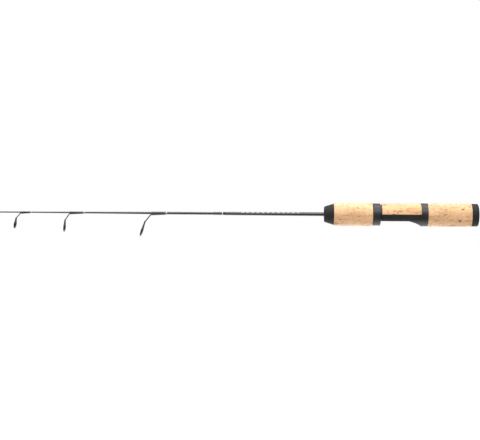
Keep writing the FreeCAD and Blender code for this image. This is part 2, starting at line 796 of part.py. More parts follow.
def make_lock_nut():
    """Threaded sleeve bonded into the fore grip, with a neck that carries the hood."""
    body = new_body("lock_nut")
    nut, bore = cell("nut_radius"), cell("nut_bore")
    turn(body, "nut_turning", [
        (cell("fore_grip_front"), bore),
        (cell("fore_grip_front"), nut),
        (cell("clip_front"), nut),
        (cell("clip_front"), cell("clip_groove")),
        (cell("clip_back"), cell("clip_groove")),
        (cell("clip_back"), nut),
        (cell("nut_end"), nut),
        (cell("nut_end"), bore),
    ])
    thread(body, "nut_thread", "PartDesign::AdditiveHelix", cell("ridge_start"),
           cell("ridge_length"), [
               (f"-{cell('ridge_base_half')}", f"{bore} + {cell('overlap')}"),
               (f"-{cell('ridge_crest_half')}", cell("ridge_crest")),
               (cell("ridge_crest_half"), cell("ridge_crest")),
               (cell("ridge_base_half"), f"{bore} + {cell('overlap')}"),
           ])
    nodes.append(body)
    turned_node("retaining_clip", ring_corners(
        cell("clip_front"), cell("clip_back"), f"{cell('clip_groove')} + {cell('glue_gap')}",
        cell("clip_radius")), f"360 - {cell('clip_opening')}")


# Grips and caps.

def grip_ring_place(front, back, step):
    """Place of one of the joints between the cork rings of a grip."""
    return f"({front} + ({back} - {front}) * {step} / {cell('cork_rings')})"


def make_cork_rings(prefix, front, back, bore, radius_at):
    for step in range(int(number(cell("cork_rings")))):
        start = grip_ring_place(front, back, step)
        end = grip_ring_place(front, back, step + 1)
        turned_node(f"{prefix}_cork_ring_{step + 1}", [
            (start, bore),
            (start, radius_at(start)),
            (end, radius_at(end)),
            (end, bore),
        ])


def make_fore_grip():
    front, back = cell("fore_grip_front"), cell("fore_grip_back")
    front_radius, back_radius = cell("fore_grip_front_radius"), cell("fore_grip_back_radius")

    def radius_at(place):
        along = f"(({back} - {place}) / ({back} - {front}))"
        return f"{back_radius} - ({back_radius} - {front_radius}) * {along}^2"

    make_cork_rings("fore", front, back, f"{cell('nut_radius')} + {cell('glue_gap')}", radius_at)
    cap = turned_node("fore_cap", [
        (cell("fore_cap_front"), cell("fore_cap_bore")),
        (cell("fore_cap_front"), cell("fore_cap_front_radius")),
        (front, cell("fore_cap_back_radius")),
        (front, cell("fore_cap_bore")),
    ])
    round_rims(cap, "fore_cap_rounding", [(cell("fore_cap_front"), cell("fore_cap_front_radius"))],
               cell("fore_cap_rounding"))


def make_rear_grip():
    bore = f"({cell('barrel_radius')} + {cell('glue_gap')})"
    make_cork_rings("rear", cell("fixed_hood_back"), cell("rear_grip_back"), bore,
                    lambda place: cell("rear_grip_radius"))
    cap = turned_node("butt_cap", [
        (cell("rear_grip_back"), bore),
        (cell("rear_grip_back"), cell("butt_cap_radius")),
        ("0", cell("butt_cap_radius")),
        ("0", "0"),
        (cell("seat_tube_end"), "0"),
        (cell("seat_tube_end"), bore),
    ])
    round_rims(cap, "butt_cap_rounding", [("0", cell("butt_cap_radius"))],
               cell("butt_cap_rounding"))
    round_rims(cap, "butt_cap_rim_rounding", [(cell("rear_grip_back"), cell("butt_cap_radius"))],
               cell("butt_cap_rim"))


blank_tip = make_blank()
make_splice_wrap()
make_tip_top()
for guide_step in (1, 2, 3):
    make_guide(guide_step, blank_tip)
make_seat()
make_arbors()
make_front_hood()
make_lock_nut()
make_fore_grip()
make_rear_grip()
doc.recompute()

for thing in doc.Objects:
    if {"Invalid", "Error"} & set(thing.State):
        raise RuntimeError(f"{thing.Label} failed: {thing.State}")
for node in nodes:
    if node.Shape.isNull() or not node.Shape.isValid():
        raise RuntimeError(f"{node.Label} has no valid shape")

os.makedirs("parts", exist_ok=True)
for node in nodes:
    node.Shape.exportStep(f"parts/{node.Label}.step")
    solids = len(node.Shape.Solids)
    print(f"{node.Label}: {solids} solid, {node.Shape.Volume:.1f} cubic mm")
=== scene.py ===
import json
import math

import bmesh
import bpy
import numpy as np
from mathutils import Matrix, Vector, kdtree, noise


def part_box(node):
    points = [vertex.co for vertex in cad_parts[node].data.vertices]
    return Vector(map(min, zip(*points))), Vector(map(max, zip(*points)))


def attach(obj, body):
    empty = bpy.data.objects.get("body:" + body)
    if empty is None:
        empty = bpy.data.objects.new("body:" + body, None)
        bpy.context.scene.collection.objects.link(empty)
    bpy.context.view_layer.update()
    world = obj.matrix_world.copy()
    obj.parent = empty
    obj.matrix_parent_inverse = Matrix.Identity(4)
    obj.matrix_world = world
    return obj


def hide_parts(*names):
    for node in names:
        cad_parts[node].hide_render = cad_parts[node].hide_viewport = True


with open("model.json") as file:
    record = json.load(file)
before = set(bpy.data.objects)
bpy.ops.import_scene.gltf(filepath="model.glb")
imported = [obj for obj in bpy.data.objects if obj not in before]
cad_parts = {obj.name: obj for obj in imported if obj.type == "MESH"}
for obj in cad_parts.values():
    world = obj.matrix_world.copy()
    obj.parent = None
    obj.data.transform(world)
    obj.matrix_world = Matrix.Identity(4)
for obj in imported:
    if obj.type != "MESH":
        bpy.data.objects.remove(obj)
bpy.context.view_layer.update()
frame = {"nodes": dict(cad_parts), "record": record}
nodes = frame["nodes"]
MM = 0.001

# Materials.


class Surface:
    """A node material under construction, with short calls for the nodes it needs."""

    def __init__(self, name, colour, roughness, metallic=0.0, specular=0.5):
        self.material = bpy.data.materials.new(name)
        self.material.use_nodes = True
        self.tree = self.material.node_tree
        self.shader = self.tree.nodes["Principled BSDF"]
        self.shader.inputs["Base Color"].default_value = (*colour, 1)
        self.shader.inputs["Roughness"].default_value = roughness
        self.shader.inputs["Metallic"].default_value = metallic
        self.shader.inputs["Specular IOR Level"].default_value = specular
        self.place = self.tree.nodes.new("ShaderNodeTexCoord").outputs["Object"]
        self.height = None

    def link(self, source, target):
        self.tree.links.new(source, target)

    def node(self, kind, inputs=None, **settings):
        """A new node with its settings; inputs are numbers or sockets by name or index."""
        node = self.tree.nodes.new(kind)
        for key, setting in settings.items():
            setattr(node, key, setting)
        for key, given in (inputs or {}).items():
            if isinstance(given, bpy.types.NodeSocket):
                self.link(given, node.inputs[key])
            else:
                node.inputs[key].default_value = given
        return node

    def math(self, operation, first, second=0.0):
        return self.node("ShaderNodeMath", {0: first, 1: second}, operation=operation).outputs[0]

    def stretched(self, scale):
        """Object place scaled along each axis, so that grain can run one way."""
        return self.node("ShaderNodeMapping", {
            "Vector": self.place, "Scale": scale}).outputs[0]

    def noise(self, scale, detail, vector=None, roughness=0.55):
        return self.node("ShaderNodeTexNoise", {
            "Vector": vector or self.place, "Scale": scale, "Detail": detail,
            "Roughness": roughness}).outputs["Fac"]

    def cells(self, scale, vector=None):
        return self.node("ShaderNodeTexVoronoi", {
            "Vector": vector or self.place, "Scale": scale}).outputs["Distance"]

    def ramp(self, factor, low, high, start=0.0, end=1.0):
        """Map a factor smoothly from one range to another."""
        return self.node("ShaderNodeMapRange", {
            "Value": factor, "From Min": low, "From Max": high, "To Min": start, "To Max": end},
            interpolation_type="SMOOTHSTEP").outputs[0]

    def mix(self, factor, first, second):
        """Mix of two colours, each a socket or a plain colour."""
        node = self.node("ShaderNodeMix", data_type="RGBA")
        for index, given in ((0, factor), (6, first), (7, second)):
            if isinstance(given, bpy.types.NodeSocket):
                self.link(given, node.inputs[index])
            else:
                node.inputs[index].default_value = given if index == 0 else (*given, 1)
        return node.outputs[2]

    def attribute(self, name):
        return self.node("ShaderNodeAttribute", attribute_name=name).outputs["Fac"]

    def colour(self, socket):
        self.link(socket, self.shader.inputs["Base Color"])

    def roughness(self, factor, low, high):
        """Vary the roughness between two values."""
        self.link(self.ramp(factor, 0.25, 0.75, low, high), self.shader.inputs["Roughness"])

    def bump(self, height, distance, strength):
        """Add a bump in metres on top of those already there."""
        node = self.node("ShaderNodeBump", {
            "Height": height, "Distance": distance, "Strength": strength})
        if self.height is not None:
            self.link(self.height, node.inputs["Normal"])
        self.height = node.outputs[0]
        self.link(self.height, self.shader.inputs["Normal"])

    def coat(self, weight, roughness):
        self.shader.inputs["Coat Weight"].default_value = weight
        self.shader.inputs["Coat Roughness"].default_value = roughness


def cork(name, tone):
    """Sanded cork: warm mottled grain, thin brown streaks along the rod and dark pits.

    The deeper pits and the ring joints are in the mesh and come as its attributes.
    """
    surface = Surface(name, tone, 0.65, specular=0.3)
    surface.shader.inputs["Sheen Weight"].default_value = 0.5
    surface.shader.inputs["Sheen Roughness"].default_value = 0.5
    light = tuple(min(1.0, part * 1.12) for part in tone)
    dark = tuple(part * share for part, share in zip(tone, (0.90, 0.82, 0.72)))
    brown = (0.36, 0.17, 0.070)
    umber = (0.22, 0.095, 0.038)
    broad = surface.noise(70, 4, surface.stretched((0.5, 1, 1)))
    base = surface.mix(surface.ramp(broad, 0.38, 0.62), dark, light)
    grain = surface.noise(800, 6, surface.stretched((0.3, 1, 1)))
    base = surface.mix(surface.ramp(grain, 0.35, 0.7, 0.0, 0.55), base, dark)
    cell = surface.cells(1900, surface.stretched((0.7, 1, 1)))
    base = surface.mix(surface.ramp(cell, 0.1, 0.7, 0.22, 0.0), base, brown)
    bars = surface.noise(620, 3, surface.stretched((1, 0.16, 0.16)))
    base = surface.mix(surface.ramp(bars, 0.42, 0.66, 0.0, 0.75), base, dark)
    streak = surface.noise(330, 7, surface.stretched((0.16, 1, 1)), 0.62)
    base = surface.mix(surface.ramp(streak, 0.53, 0.70, 0.0, 0.78), base, brown)
    patch = surface.noise(45, 2)
    fleck = surface.noise(720, 4, surface.stretched((0.34, 1, 1)), 0.6)
    flecked = surface.math("MULTIPLY", surface.ramp(patch, 0.42, 0.62), surface.ramp(fleck, 0.52, 0.66))
    base = surface.mix(surface.math("MULTIPLY", flecked, 0.75), base, umber)
    pit = surface.attribute("pit")
    base = surface.mix(surface.ramp(pit, 0.05, 0.9, 0.0, 0.85), base, umber)
    seam = surface.attribute("seam")
    base = surface.mix(surface.ramp(seam, 0.0, 1.0, 0.0, 0.35), base, brown)
    surface.colour(base)
    surface.roughness(grain, 0.55, 0.8)
    surface.bump(cell, 0.05 * MM, 0.6)
    surface.bump(fleck, 0.08 * MM, 0.7)
    return surface.material


def plastic(name, tone, roughness):
    """Moulded plastic with a fine satin grain and broad faint wear."""
    surface = Surface(name, tone, roughness, specular=0.5)
    grain = surface.noise(2600, 3)
    wear = surface.noise(55, 4)
    surface.roughness(wear, roughness * 0.85, roughness * 1.2)
    lighter = tuple(part * 1.5 for part in tone)
    surface.colour(surface.mix(surface.ramp(wear, 0.35, 0.7, 0.0, 0.6), tone, lighter))
    surface.bump(grain, 0.02 * MM, 0.6)
    return surface.material


def speckled_rubber(name, tone):
    """Dense foam rubber: dull, with fine grain and scattered lighter specks."""
    surface = Surface(name, tone, 0.7, specular=0.35)
    speck = surface.cells(900)
    fine = surface.noise(1800, 5)
    lighter = tuple(part * 3.2 for part in tone)
    base = surface.mix(surface.ramp(fine, 0.45, 0.75, 0.0, 0.7), tone, lighter)
    base = surface.mix(surface.ramp(speck, 0.0, 0.22, 0.75, 0.0), base, (0.10, 0.10, 0.105))
    surface.colour(base)
    surface.roughness(fine, 0.6, 0.85)
    surface.bump(speck, 0.08 * MM, 0.5)
    surface.bump(fine, 0.08 * MM, 0.7)
    return surface.material


def lacquered(name, tone, fibre_tint):
    """Clear-coated fibre blank: dark, glossy, with faint lengthwise fibre marks."""
    surface = Surface(name, tone, 0.32, specular=0.5)
    fibre = surface.noise(700, 4, surface.stretched((0.05, 1.0, 1.0)))
    surface.colour(surface.mix(surface.ramp(fibre, 0.35, 0.7, 0.0, 0.8), tone, fibre_tint))
    orange_peel = surface.noise(240, 3)
    surface.roughness(orange_peel, 0.26, 0.4)
    surface.bump(orange_peel, 0.01 * MM, 0.4)
    surface.coat(0.8, 0.06)
    return surface


DASHES = (-290 * MM, -219 * MM)
DASH_PITCH = 6.2 * MM
DASH_SHARE = 0.62
DASH_ANGLE = math.radians(45)
DASH_HALF_ANGLE = 0.3
DASH_COLOUR = (0.30, 0.30, 0.29)


def with_dashes(surface):
    """Add a plain row of short grey dashes along the upper front of the blank."""
    split = surface.node("ShaderNodeSeparateXYZ", {0: surface.place}).outputs
    step = surface.math("DIVIDE", surface.math("SUBTRACT", split["X"], DASHES[0]), DASH_PITCH)
    dash = surface.math("LESS_THAN", surface.math("FRACT", step), DASH_SHARE)
    after = surface.math("GREATER_THAN", split["X"], DASHES[0])
    before = surface.math("LESS_THAN", split["X"], DASHES[1])
    height = surface.math("ARCTAN2", split["Z"], surface.math("MULTIPLY", split["Y"], -1.0))
    aside = surface.math("ABSOLUTE", surface.math("SUBTRACT", height, DASH_ANGLE))
    row = surface.math("LESS_THAN", aside, DASH_HALF_ANGLE)
    marked = surface.math("MULTIPLY", surface.math("MULTIPLY", dash, row),
                          surface.math("MULTIPLY", after, before))
    bare = surface.shader.inputs["Base Color"].links[0].from_socket
    surface.colour(surface.mix(marked, bare, DASH_COLOUR))
    return surface


def thread(name, tone, metallic=0.0, roughness=0.4):
    """Wound thread under a clear coat; the turns themselves are in the mesh."""
    surface = Surface(name, tone, roughness, metallic)
    fibre = surface.noise(2500, 3, surface.stretched((3.0, 1.0, 1.0)))
    lighter = tuple(min(1.0, part * 1.6 + 0.01) for part in tone)
    surface.colour(surface.mix(surface.ramp(fibre, 0.35, 0.7), tone, lighter))
    surface.roughness(fibre, roughness * 0.8, roughness * 1.2)
    surface.bump(fibre, 0.01 * MM, 0.5)
    surface.coat(0.9, 0.05)
    return surface.material


def plated(name, tone, roughness):
    """Polished metal plate with a faint brushed grain along the rod."""
    surface = Surface(name, tone, roughness, metallic=1.0)
    brush = surface.noise(1500, 4, surface.stretched((0.3, 1.0, 1.0)))
    surface.roughness(brush, roughness * 0.7, roughness * 1.4)
    lighter = tuple(min(1.0, part * 1.35) for part in tone)
    surface.colour(surface.mix(surface.ramp(brush, 0.3, 0.7), tone, lighter))
    surface.bump(brush, 0.006 * MM, 0.5)
    return surface.material


def ceramic(name, tone):
    """Hard polished oxide."""
    surface = Surface(name, tone, 0.12, specular=0.6)
    fine = surface.noise(3000, 3)
    surface.roughness(fine, 0.08, 0.18)
    lighter = tuple(part * 1.5 for part in tone)
    surface.colour(surface.mix(surface.ramp(fine, 0.4, 0.7), tone, lighter))
    surface.bump(fine, 0.002 * MM, 0.3)
    return surface.material


def foam(name, tone):
    """Rigid foam with open cells."""
    surface = Surface(name, tone, 0.85, specular=0.3)
    cell = surface.cells(1100)
    darker = tuple(part * 0.7 for part in tone)
    surface.colour(surface.mix(surface.ramp(cell, 0.1, 0.6), darker, tone))
    surface.bump(cell, 0.1 * MM, 0.8)
    return surface.material


FINISHES = {
    "blank": lacquered("blank_lacquer", (0.005, 0.005, 0.006), (0.012, 0.012, 0.013)).material,
    "blank_butt": with_dashes(
        lacquered("blank_butt_lacquer", (0.006, 0.008, 0.007), (0.016, 0.020, 0.018))).material,
    "thread": thread("black_thread", (0.006, 0.006, 0.007)),
    "trim": thread("silver_thread", (0.33, 0.33, 0.34), metallic=0.7, roughness=0.45),
    "guide_metal": plated("black_nickel", (0.03, 0.03, 0.032), 0.32),
    "ring": ceramic("ring_oxide", (0.008, 0.008, 0.009)),
    "seat_plastic": plastic("seat_satin", (0.012, 0.012, 0.0135), 0.40),
    "nut_plastic": plastic("nut_moulding", (0.03, 0.03, 0.03), 0.5),
    "spring_steel": plated("spring_steel", (0.55, 0.55, 0.57), 0.3),
    "cap_rubber": speckled_rubber("cap_rubber", (0.009, 0.009, 0.010)),
    "grip_cork": cork("grip_cork", (0.86, 0.55, 0.315)),
    "inlay_cork": cork("inlay_cork", (0.86, 0.53, 0.290)),
    "arbor_foam": foam("arbor_foam", (0.5, 0.46, 0.38)),
}


def finish_cad_nodes():
    """Give each CAD node the finish of its material slot."""
    for entry in frame["record"]["subparts"]:
        mesh = nodes[entry["node"]].data
        mesh.materials.clear()
        mesh.materials.append(FINISHES[entry["material_slot"]])


# Detailed pieces.

SLOTS = {entry["node"]: entry["material_slot"] for entry in frame["record"]["subparts"]}


def body_of(node):
    """Name of the CAD body that a node belongs to."""
    bodies = frame["record"]["behaviour"]["bodies"]
    return next(body for body, members in bodies.items() if node in members)


def show_instead(mesh, node):
    """Put a mesh in the place of one CAD node, in the finish of that node's slot."""
    mesh.materials.clear()
    mesh.materials.append(FINISHES[SLOTS[node]])
    piece = bpy.data.objects.new(mesh.name, mesh)
    bpy.context.scene.collection.objects.link(piece)
    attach(piece, body_of(node))
    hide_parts(node)
    return piece


def add_piece(name, vertices, faces, smooth, node, attributes=None):
    """A new mesh that stands for one CAD node."""
    mesh = bpy.data.meshes.new(name)
    mesh.from_pydata(vertices, [], faces)
    mesh.validate()
    mesh.polygons.foreach_set("use_smooth", smooth)
    for key, values in (attributes or {}).items():
        mesh.attributes.new(key, "FLOAT", "POINT").data.foreach_set("value", values)
    show_instead(mesh, node)


def skyline(node):
    """Function giving the outer radius of a turned CAD node at a place along the rod."""
    radii = {}
    for vertex in nodes[node].data.vertices:
        place = round(vertex.co.x, 6)
        radii[place] = max(radii.get(place, 0.0), math.hypot(vertex.co.y, vertex.co.z))
    places = sorted(radii)
    heights = [radii[place] for place in places]
    return lambda place: float(np.interp(place, places, heights))


def bore_radius(node):
    """Smallest radius of a turned CAD node about the rod's axis."""
    return min(math.hypot(vertex.co.y, vertex.co.z) for vertex in nodes[node].data.vertices)


def on_rod(place, angle, radius):
    """Point at an angle about the rod's axis, measured from straight up."""
    return (place, radius * math.sin(angle), radius * math.cos(angle))


def shell(places, angles, outer, inner, closed=True):
    """Vertices, faces and smooth flags of a sleeve or part sleeve around the rod's axis.

    outer and inner give the skin's point at a place and an angle. The inner skin has only its
    two end loops.
    """
    across, along = len(angles), len(places)
    vertices = [outer(place, angle) for place in places for angle in angles]
    inner_first = len(vertices)
    vertices += [inner(place, angle) for place in (places[0], places[-1]) for angle in angles]
    inner_last = inner_first + across
    faces, smooth = [], []
    spans = range(across) if closed else range(across - 1)
    for row in range(along - 1):
        for column in spans:
            after = (column + 1) % across
            first, second = row * across, (row + 1) * across
            faces.append((first + column, second + column, second + after, first + after))
            smooth.append(True)
    outer_last = (along - 1) * across
    for column in spans:
        after = (column + 1) % across
        faces.append((inner_first + column, inner_first + after,
                      inner_last + after, inner_last + column))
        faces.append((column, after, inner_first + after, inner_first + column))
        faces.append((outer_last + after, outer_last + column,
                      inner_last + column, inner_last + after))
        smooth += [True, False, False]
    if not closed:
        for column, turned in ((0, True), (across - 1, False)):
            side = [row * across + column for row in range(along)]
            side += [inner_last + column, inner_first + column]
            faces.append(tuple(reversed(side)) if turned else tuple(side))
            smooth.append(False)
    return vertices, faces, smooth


def full_turn(count):
    return [2 * math.pi * step / count for step in range(count)]


def spread(first, last, count):
    """Evenly spaced numbers from first to last."""
    return [first + (last - first) * step / count for step in range(count + 1)]


def smooth_step(low, high, value):
    share = min(1.0, max(0.0, (value - low) / (high - low)))
    return share * share * (3 - 2 * share)


# Cork.

CORK_GRID = 0.36 * MM
FEWEST_STEPS = 8
PIT_CELL = 1.7 * MM
PIT_DEPTH = 0.28 * MM
PIT_SHARE = 0.3
PIT_STRETCH = 0.42
PIT_SMALLEST = 0.16
PIT_SPREAD = 0.17
PIT_FLOOR = 0.35
CRACK_CELL = 0.8 * MM
CRACK_DEPTH = 0.2 * MM
CRACK_STRETCH = 0.22
CRACK_EDGES = (0.34, 0.56)
CRACK_COLOUR = 0.7
RIPPLE_SIZE = 2.4 * MM
RIPPLE_MEAN = 0.02 * MM
SEAM_WIDTH = 0.28 * MM
SEAM_DEPTH = 0.07 * MM
SEED_SHIFT = (3.7, 1.9, 5.3)
CHOICE_SCALE = 9.1
SIZE_SCALE = 5.7
INLAY_SEED = 20


def pores(point, seed):
    """Darkness and depth of the cork's pores at a point: scattered round pits and short cracks."""
    shift = Vector([seed * part for part in SEED_SHIFT])
    at = Vector((point[0] * PIT_STRETCH, point[1], point[2])) / PIT_CELL + shift
    distances, centres = noise.voronoi(at)
    chosen = noise.cell(centres[0] * CHOICE_SCALE + shift)
    size = PIT_SMALLEST + PIT_SPREAD * noise.cell(centres[0] * SIZE_SCALE - shift)
    pit = 0.0
    if chosen < PIT_SHARE:
        pit = 1.0 - smooth_step(size * PIT_FLOOR, size, distances[0])
    along = Vector((point[0] * CRACK_STRETCH, point[1], point[2])) / CRACK_CELL + shift
    crack = smooth_step(*CRACK_EDGES, noise.noise(along))
    return max(pit, crack * CRACK_COLOUR), pit * PIT_DEPTH + crack * CRACK_DEPTH


def cork_skin(radius, bore, low, high, seed, angles, closed):
    """Sleeve of cork from low to high whose outer skin is pitted and eased at its ends."""
    count = max(FEWEST_STEPS, round((high - low) / CORK_GRID))
    places = spread(low, high, count)
    pits, seams = [], []

    def outer(place, angle):
        edge = min(place - low, high - place)
        seam = 1.0 - smooth_step(0.0, SEAM_WIDTH, edge)
        point = on_rod(place, angle, radius(place))
        darkness, depth = pores(point, seed)
        ripple = (1.0 + noise.noise(Vector(point) / RIPPLE_SIZE)) * RIPPLE_MEAN
        pits.append(darkness)
        seams.append(seam)
        return on_rod(place, angle, radius(place) - depth - seam * SEAM_DEPTH - ripple)

    vertices, faces, smooth = shell(places, angles, outer,
                                    lambda place, angle: on_rod(place, angle, bore), closed)
    spare = [0.0] * (len(vertices) - len(pits))
    return vertices, faces, smooth, {"pit": pits + spare, "seam": seams + spare}


def make_cork():
    """The rings of both grips all the way round, and the inlay over the upper half."""
    rings = sorted(node for node in nodes if "cork_ring" in node)
    for seed, node in enumerate(rings, start=1):
        low, high = (corner.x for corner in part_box(node))
        radius = skyline(node)
        around = round(2 * math.pi * radius(low) / CORK_GRID)
        skin = cork_skin(radius, bore_radius(node), low, high, seed, full_turn(around), True)
        add_piece(node + "_detailed", *skin[:3], node, skin[3])
    low, high = (corner.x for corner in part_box("seat_inlay"))
    radius = skyline("seat_inlay")
    around = round(math.pi * radius(low) / CORK_GRID)
    half = spread(-math.pi / 2, math.pi / 2, around)
    skin = cork_skin(radius, bore_radius("seat_inlay"), low, high, INLAY_SEED, half, False)
    add_piece("seat_inlay_detailed", *skin[:3], "seat_inlay", skin[3])


# Thread wraps and trim bands.

THREAD_PITCH = 0.24 * MM
THREAD_STEPS = 6
THREAD_AROUND = 44
THREAD_HEIGHT = 0.22 * MM
FOOT_HEIGHT_SHARE = 0.8
TAIL_SHARE = 0.7
CREST_SHARE = 0.96
END_REACH = 0.01 * MM


def thread_dip(place, angle, first):
    """How far the skin of wound thread lies below its crests."""
    turn = (place - first) / THREAD_PITCH - angle / (2 * math.pi)
    from_crest = 2 * abs(turn - math.floor(turn) - 0.5)
    return (1 - math.sqrt(max(0.0, 1 - (CREST_SHARE * from_crest) ** 2))) * THREAD_PITCH / 2


def hull_radius(angle, around_blank, around_foot, foot_drop):
    """Distance from the rod's axis to a cord pulled round the blank and the foot under it.

    The angle is measured from straight up.
    """
    blank_touch = math.acos((around_blank - around_foot) / foot_drop)
    foot_touch = math.atan2(around_foot * math.sin(blank_touch),
                            foot_drop + around_foot * math.cos(blank_touch))
    from_down = abs(math.pi - (angle % (2 * math.pi)))
    if from_down >= blank_touch:
        return around_blank
    if from_down >= foot_touch:
        return around_blank / math.cos(blank_touch - from_down)
    across = foot_drop * math.sin(from_down)
    return foot_drop * math.cos(from_down) + math.sqrt(around_foot ** 2 - across ** 2)


def wind(node, outer_radius, core):
    """Wound thread over a CAD node's length with the given outer radius at (place, angle)."""
    low, high = (corner.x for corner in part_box(node))
    places = spread(low, high, round((high - low) / THREAD_PITCH) * THREAD_STEPS)

    def outer(place, angle):
        return on_rod(place, angle, outer_radius(place, angle) - thread_dip(place, angle, low))

    skin = shell(places, full_turn(THREAD_AROUND), outer,
                 lambda place, angle: on_rod(place, angle, core(place)))
    add_piece(node + "_wound", *skin, node)


def section_of(node, end):
    """Up and down reach of a CAD wrap's end section: (top, bottom) about the axis."""
    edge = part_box(node)[end].x
    heights = [vertex.co.z for vertex in nodes[node].data.vertices
               if abs(vertex.co.x - edge) < END_REACH]
    return max(heights), -min(heights)


def make_foot_wraps():
    """Thread over each guide's foot, full at the leg and tapering to the trim band."""
    blank = skyline("blank_tip_section")
    for step in (1, 2, 3):
        node = f"guide_{step}_wrap"
        low, high = (corner.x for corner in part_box(node))
        top_leg, bottom_leg = section_of(node, 0)
        top_trim, bottom_trim = section_of(node, 1)
        wire = (bottom_leg - top_leg) / FOOT_HEIGHT_SHARE
        foot_leg = wire / 2 + THREAD_HEIGHT

        def outer_radius(place, angle):
            share = (place - low) / (high - low)
            around = top_leg + (top_trim - top_leg) * share
            bottom = bottom_leg + (bottom_trim - bottom_leg) * share
            foot = foot_leg + (around * TAIL_SHARE - foot_leg) * share
            return hull_radius(angle, around, foot, bottom - foot)

        wind(node, outer_radius, blank)


def make_plain_wraps():
    """Trim bands, the wrap at the splice and the wrap over the tube of the tip top."""
    blank = skyline("blank_tip_section")
    for node in sorted(nodes):
        if node.endswith("_trim_band") or node == "splice_wrap":
            radius = skyline(node)
            wind(node, lambda place, angle, radius=radius: radius(place), blank)
    over_tube = skyline("tip_top_wrap")
    wind("tip_top_wrap", lambda place, angle: over_tube(place),
         lambda place: over_tube(place) - THREAD_HEIGHT)


# The blank, with a finer skin than the CAD nodes.

BLANK_STEP = 8 * MM
BLANK_AROUND = 48
SOLID_CORE = 0.2 * MM


def make_blank():
    """Smooth tapering skins for the two blank sections."""
    for node in ("blank_tip_section", "blank_butt_section"):
        radius = skyline(node)
        places = sorted({round(vertex.co.x, 6) for vertex in nodes[node].data.vertices})
        stations = []
        for first, last in zip(places, places[1:]):
            stations += spread(first, last, max(1, round((last - first) / BLANK_STEP)))[:-1]
        stations.append(places[-1])
        core = SOLID_CORE if node == "blank_tip_section" else bore_radius(node)
        skin = shell(stations, full_turn(BLANK_AROUND),
                     lambda place, angle, radius=radius: on_rod(place, angle, radius(place)),
                     lambda place, angle, core=core: on_rod(place, angle, core))
        add_piece(node + "_turned", *skin, node)


# Mouldings and caps: the CAD surface again, with more facets around the rod's axis.

ROUNDED_NODES = ("seat_body", "front_hood", "lock_nut", "retaining_clip", "fore_cap", "butt_cap",
                 "arbor_front", "arbor_middle", "arbor_rear", "tip_top_tube")
FACET_WIDTH = 0.6 * MM
FACET_ROUNDS = 3
SIDEWAYS_LIMIT = 0.12
FLAT_LIMIT = 0.99
SHARP_ANGLE = math.radians(32)
TINY = 0.002 * MM


def about_axis(point):
    """Angle about the rod's axis and distance from it."""
    return math.atan2(point.y, point.z), math.hypot(point.y, point.z)


def is_turned(face):
    """True if a face belongs to a surface of revolution about the rod's axis."""
    angle, radius = about_axis(face.calc_center_median())
    sideways = Vector((0, math.cos(angle), -math.sin(angle)))
    return abs(face.normal.dot(sideways)) < SIDEWAYS_LIMIT


def is_rounded(edge):
    """True if an edge runs round a surface of revolution, and not across one of its flat ends."""
    across_flat = all(abs(face.normal.x) > FLAT_LIMIT for face in edge.link_faces)
    return not across_flat and all(is_turned(face) for face in edge.link_faces)


def turned_middle(edge):
    """Point halfway round an edge of a surface of revolution, and the edge's width around it."""
    (first, inner), (last, outer) = (about_axis(vertex.co) for vertex in edge.verts)
    turn = math.remainder(last - first, 2 * math.pi)
    radius = (inner + outer) / 2
    place = (edge.verts[0].co.x + edge.verts[1].co.x) / 2
    return Vector(on_rod(place, first + turn / 2, radius)), abs(turn) * radius


def round_out(node):
    """Copy a CAD node with its turned surfaces split into narrower facets."""
    shape = bmesh.new()
    shape.from_mesh(nodes[node].data)
    bmesh.ops.remove_doubles(shape, verts=shape.verts, dist=TINY)
    for _ in range(FACET_ROUNDS):
        wide, middles = [], []
        for edge in shape.edges:
            middle, width = turned_middle(edge)
            if width > FACET_WIDTH and is_rounded(edge):
                wide.append(edge)
                middles.append(middle)
        if not wide:
            break
        halves = kdtree.KDTree(len(wide))
        for index, edge in enumerate(wide):
            halves.insert((edge.verts[0].co + edge.verts[1].co) / 2, index)
        halves.balance()
        cut = bmesh.ops.subdivide_edges(shape, edges=wide, cuts=1)
        for item in cut["geom_inner"]:
            if isinstance(item, bmesh.types.BMVert):
                item.co = middles[halves.find(item.co)[1]]
        bmesh.ops.triangulate(shape, faces=shape.faces)
        shape.normal_update()
    bmesh.ops.dissolve_degenerate(shape, edges=shape.edges, dist=TINY)
    mesh = bpy.data.meshes.new(node + "_rounded")
    for face in shape.faces:
        face.smooth = True
    shape.to_mesh(mesh)
    shape.free()
    # The normals that came with the CAD mesh no longer fit the moved corners.
    mesh.attributes.remove(mesh.attributes["custom_normal"])
    mesh.set_sharp_from_angle(angle=SHARP_ANGLE)
    show_instead(mesh, node)


def make_mouldings():
    for node in ROUNDED_NODES:
        round_out(node)


# Guides: frames of smoothly joined round wire, and the hard rings in them.

WIRE_VOXEL = 0.13 * MM
MELT_FACTOR = 0.5
MELT_ROUNDS = 6
RING_AROUND = 72
RING_SECTION = 12


def make_guide_frames():
    """Wire frames with the facets of the CAD node melted into one smooth skin."""
    for node in sorted(nodes):
        if not node.endswith("_frame"):
            continue
        mesh = nodes[node].data.copy()
        mesh.name = node + "_smooth"
        piece = show_instead(mesh, node)
        skin = piece.modifiers.new("one_skin", "REMESH")
        skin.mode = "VOXEL"
        skin.voxel_size = WIRE_VOXEL
        skin.use_smooth_shade = True
        melt = piece.modifiers.new("melt", "SMOOTH")
        melt.factor = MELT_FACTOR
        melt.iterations = MELT_ROUNDS


def ring_section(hole, rounding, straight):
    """Outline of a ring's section with two half-round sides: (reach along the axis, radius)."""
    return [(side * straight + rounding * math.cos(angle), hole + rounding + rounding * math.sin(angle))
            for side, start in ((1, 0), (-1, math.pi))
            for angle in spread(start - math.pi / 2, start + math.pi / 2, RING_SECTION)]


